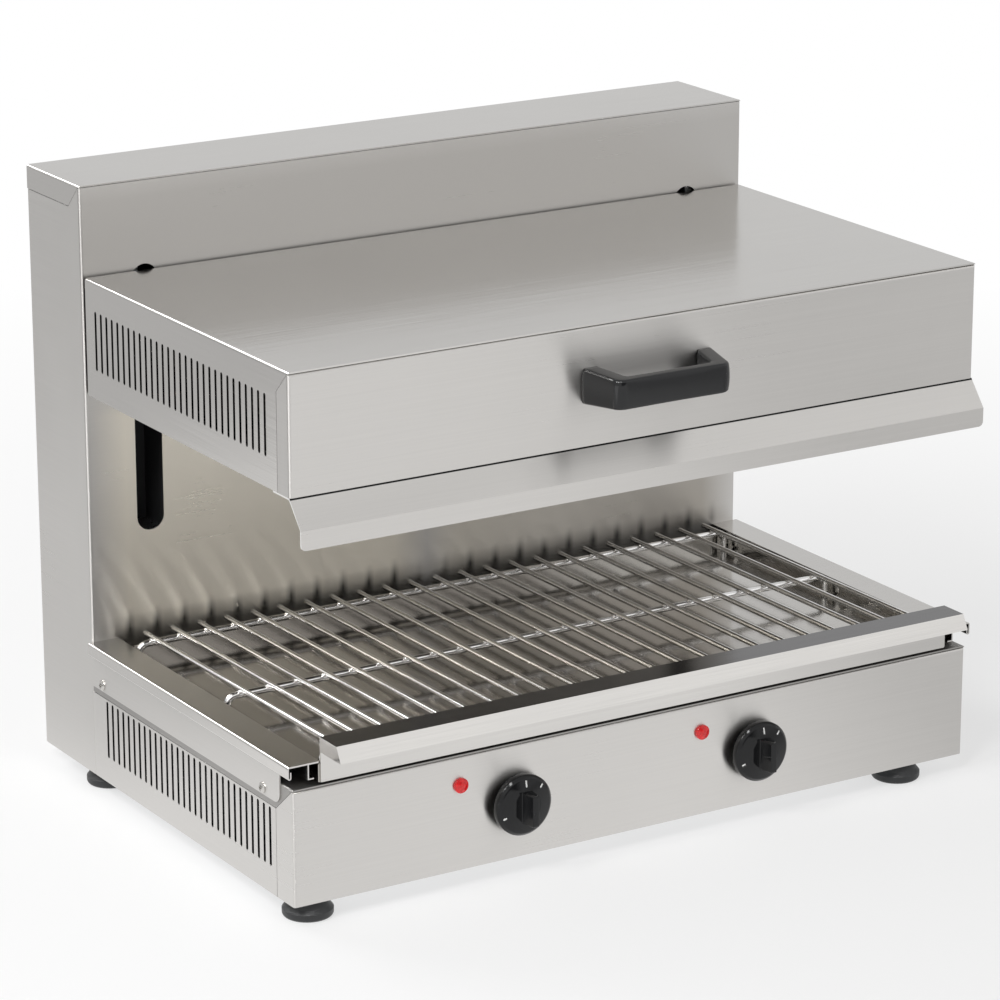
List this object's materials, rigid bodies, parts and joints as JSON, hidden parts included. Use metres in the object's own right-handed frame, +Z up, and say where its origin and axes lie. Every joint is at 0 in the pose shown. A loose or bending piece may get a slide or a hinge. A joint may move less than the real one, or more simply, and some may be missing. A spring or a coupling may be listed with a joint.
{
  "type": "cheese melter",
  "caption": "Countertop grill with a counterbalanced heated hood that slides on a rear column over a wire grid in a pull-out drip tray, with rotary heat controls.",
  "frame": {"origin": "middle of the footprint on the worktop, at the level of the feet's undersides", "axes": "+Z up, -Y towards the user at the front, +X to the user's right when facing the front"},
  "size_m": [0.608, 0.455, 0.484],
  "materials": {
    "casing_steel": "satin brushed stainless sheet",
    "polished_steel": "bright polished stainless sheet",
    "wire": "bright plated wire",
    "zinc_steel": "zinc plated",
    "black_paint": "matt black",
    "ground_steel": "ground and bright",
    "cast": "rough cast",
    "bronze": "plain sintered bronze",
    "black_gloss": "gloss black",
    "knob_black": "half gloss black with white marks",
    "foot_plastic": "matt black moulding",
    "lens_red": "clear ribbed red",
    "inner_plastic": "plain moulding",
    "gland_plastic": "matt black moulding",
    "mat": "loose ceramic fibre",
    "element_sheath": "dark oxidised sheath",
    "rope": "stranded wire rope",
    "pulley_plastic": "natural nylon"
  },
  "bodies": {
    "casing": {"bottom_plate": "zinc_steel", "base_front_panel": "casing_steel", "base_side_left": "casing_steel", "base_side_right": "casing_steel", "base_deck": "casing_steel", "rail_strip_left": "casing_steel", "rail_strip_right": "casing_steel", "tray_rail_left": "casing_steel", "tray_rail_right": "casing_steel", "column_shell": "casing_steel", "column_cap": "casing_steel", "back_panel": "casing_steel", "casing_screws": "polished_steel", "feet": "foot_plastic", "foot_screws": "zinc_steel", "foot_nuts": "zinc_steel", "guide_channels": "black_paint", "guide_rods": "ground_steel", "weight_rods": "ground_steel", "top_beam": "zinc_steel", "bottom_beam": "zinc_steel", "pulley_brackets": "zinc_steel", "pulley_axles": "ground_steel", "cable_bends": "rope", "regulators": "inner_plastic", "regulator_nuts": "zinc_steel", "pilot_lenses": "lens_red", "pilot_bodies": "inner_plastic", "terminal_block": "inner_plastic", "cable_gland": "gland_plastic", "gland_locknut": "gland_plastic"},
    "hood": {"hood_shell": "casing_steel", "hood_front_panel": "casing_steel", "hood_back_plate": "casing_steel", "deflector": "casing_steel", "reflector": "polished_steel", "insulation_mat": "mat", "element_left": "element_sheath", "element_right": "element_sheath", "element_clips": "zinc_steel", "lift_arms": "zinc_steel", "carriages": "zinc_steel", "carriage_bushes": "bronze", "arm_bolts": "zinc_steel", "handle": "black_gloss", "handle_screws": "zinc_steel", "lift_cables": "rope"},
    "weight": {"counterweight": "cast", "weight_cables": "rope"},
    "pulley_left": {"pulley_left": "pulley_plastic"},
    "pulley_right": {"pulley_right": "pulley_plastic"},
    "knob_left": {"knob_left": "knob_black", "shaft_left": "ground_steel"},
    "knob_right": {"knob_right": "knob_black", "shaft_right": "ground_steel"},
    "tray": {"drip_tray": "polished_steel", "tray_front": "casing_steel"},
    "grid": {"grid_wires": "wire", "grid_cross_wires": "wire"}
  },
  "joints": [
    {"name": "hood_lift", "type": "slide", "parent": "casing", "child": "hood", "axis": [0, 0, 1], "range_m": [-0.14, 0], "deforming": ["lift_cables"]},
    {"name": "counterweight_run", "type": "slide", "parent": "casing", "child": "weight", "axis": [0, 0, 1], "range_m": [0, 0.14], "deforming": ["weight_cables"]},
    {"name": "pulley_left_turn", "type": "hinge", "parent": "casing", "child": "pulley_left", "pos_m": [-0.258, 0.1697, 0.4545], "axis": [1, 0, 0], "range_deg": [0, 334.73]},
    {"name": "pulley_right_turn", "type": "hinge", "parent": "casing", "child": "pulley_right", "pos_m": [0.258, 0.1697, 0.4545], "axis": [1, 0, 0], "range_deg": [0, 334.73]},
    {"name": "knob_left_turn", "type": "hinge", "parent": "casing", "child": "knob_left", "pos_m": [-0.1115, -0.1905, 0.0597], "axis": [0, 1, 0], "range_deg": [0, 270]},
    {"name": "knob_right_turn", "type": "hinge", "parent": "casing", "child": "knob_right", "pos_m": [0.101, -0.1905, 0.0597], "axis": [0, 1, 0], "range_deg": [0, 270]},
    {"name": "tray_slide", "type": "slide", "parent": "casing", "child": "tray", "axis": [0, -1, 0], "range_m": [0, 0.25]},
    {"name": "grid_lift", "type": "slide", "parent": "tray", "child": "grid", "axis": [0, 0, 1], "range_m": [0, 0.06]}
  ],
  "couplings": [
    {"joint": "counterweight_run", "follows": "hood_lift", "ratio": -1},
    {"joint": "pulley_left_turn", "follows": "hood_lift", "rad_per_m": -41.667},
    {"joint": "pulley_right_turn", "follows": "hood_lift", "rad_per_m": -41.667}
  ]
}
